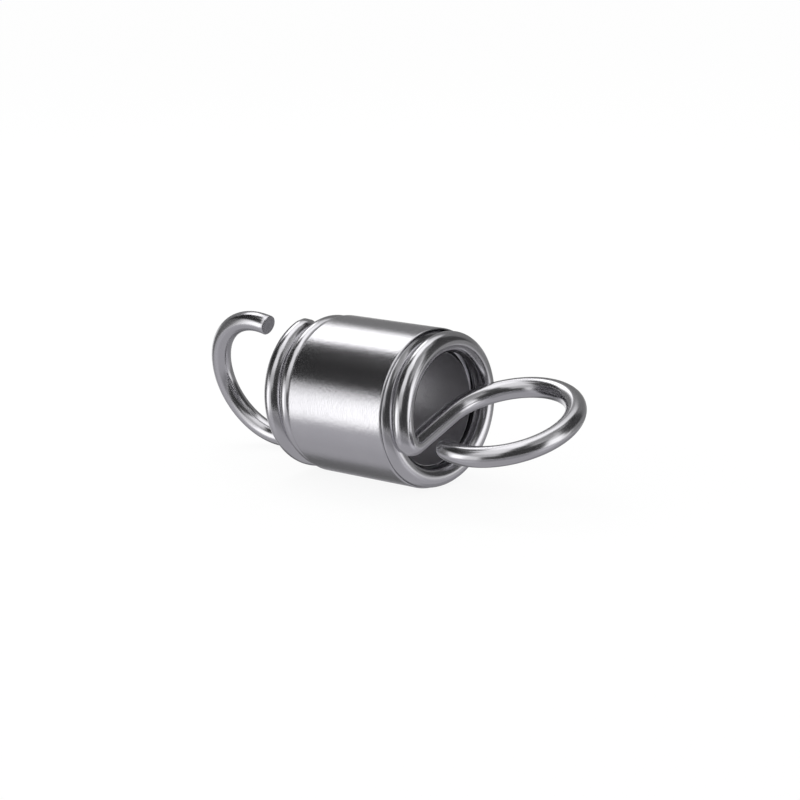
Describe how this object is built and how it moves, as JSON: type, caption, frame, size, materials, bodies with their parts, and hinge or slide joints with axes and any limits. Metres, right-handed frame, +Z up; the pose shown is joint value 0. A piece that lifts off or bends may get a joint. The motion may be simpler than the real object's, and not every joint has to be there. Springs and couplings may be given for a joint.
{
  "type": "extension spring",
  "caption": "Short extension spring of round steel wire with a smooth sleeve round its middle turns, a closed loop at one end and an open hook at the other.",
  "frame": {"origin": "on the coil's axis, midway between the outermost points of the loop and the hook", "axes": "+X along the coil's axis from the hook to the loop, +Z up as the spring lies in the picture, +Y away from the side that the picture shows"},
  "size_m": [0.0998, 0.0333, 0.0332],
  "materials": {
    "wire": "drawn steel wire, polished satin",
    "sleeve": "rolled steel sheet, smooth satin",
    "liner": "rolled steel sheet, dull satin"
  },
  "bodies": {
    "loop_side": {"loop_end": "wire", "coil": "wire"},
    "hook_side": {"hook_end": "wire"},
    "sleeve": {"outer_sleeve": "sleeve", "inner_sleeve": "liner"}
  },
  "joints": [
    {"name": "stretch", "type": "slide", "parent": "loop_side", "child": "hook_side", "axis": [-1, 0, 0], "range_m": [0, 0.025], "stiffness_N_per_m": 12500, "deforming": ["coil"]},
    {"name": "sleeve_float", "type": "slide", "parent": "loop_side", "child": "sleeve", "axis": [-1, 0, 0], "range_m": [0, 0.0125]}
  ],
  "couplings": [
    {"joint": "sleeve_float", "follows": "stretch", "ratio": 0.5}
  ]
}
